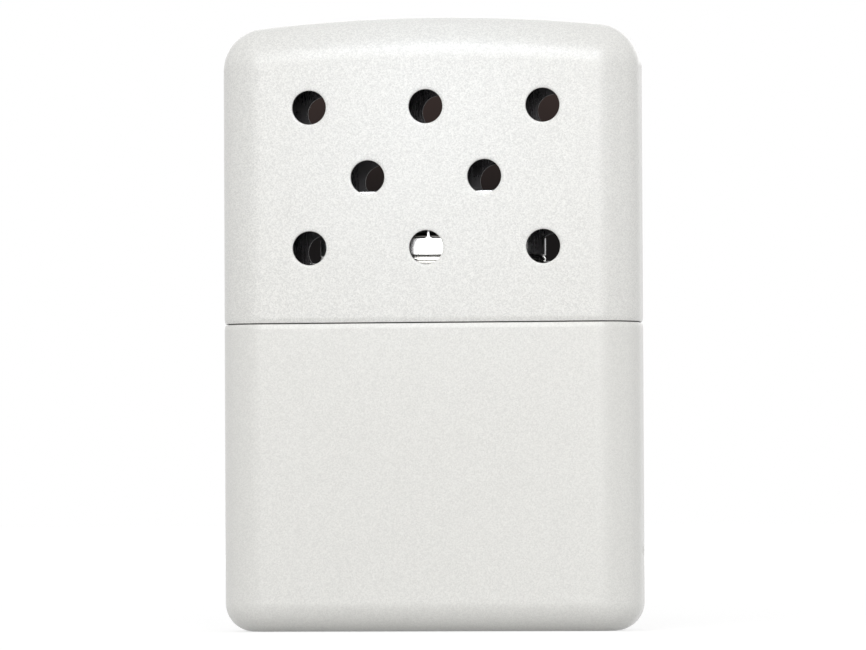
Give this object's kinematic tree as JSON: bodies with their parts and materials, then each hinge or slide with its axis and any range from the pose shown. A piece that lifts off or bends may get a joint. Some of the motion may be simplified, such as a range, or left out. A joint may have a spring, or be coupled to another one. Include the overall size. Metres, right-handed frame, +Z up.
{
  "type": "catalytic hand warmer",
  "caption": "Pocket catalytic hand warmer: a lower case that is the fuel tank, a vented lid that lifts off it, and a catalytic burner pushed onto the tank's neck.",
  "frame": {"origin": "centre of the base, on the surface that the warmer stands on", "axes": "+X along the width, to the right seen from the front; -Y is the front; +Z up through the lid"},
  "size_m": [0.0508, 0.013, 0.0744],
  "materials": {
    "case_paint": "pearl white satin",
    "plating": "bright plated",
    "gauze_wire": "woven stainless wire",
    "catalyst_fibre": "matted glass fibre with platinum",
    "felt": "pressed felt",
    "cotton": "loose cotton"
  },
  "bodies": {
    "tank": {"tank_shell": "case_paint", "tank_collar": "plating", "fill_neck": "plating", "wick_felt": "felt", "cotton_lower": "cotton", "cotton_upper": "cotton"},
    "burner": {"burner_frame": "plating", "burner_retainer": "plating", "gauze_lower": "gauze_wire", "catalyst_mat": "catalyst_fibre", "gauze_upper": "gauze_wire"},
    "lid": {"lid_shell": "case_paint"}
  },
  "joints": [
    {"name": "lid_lift", "type": "slide", "parent": "tank", "child": "lid", "axis": [0, 0, 1], "range_m": [0, 0.045]},
    {"name": "burner_lift", "type": "slide", "parent": "tank", "child": "burner", "axis": [0, 0, 1], "range_m": [0, 0.015]}
  ]
}
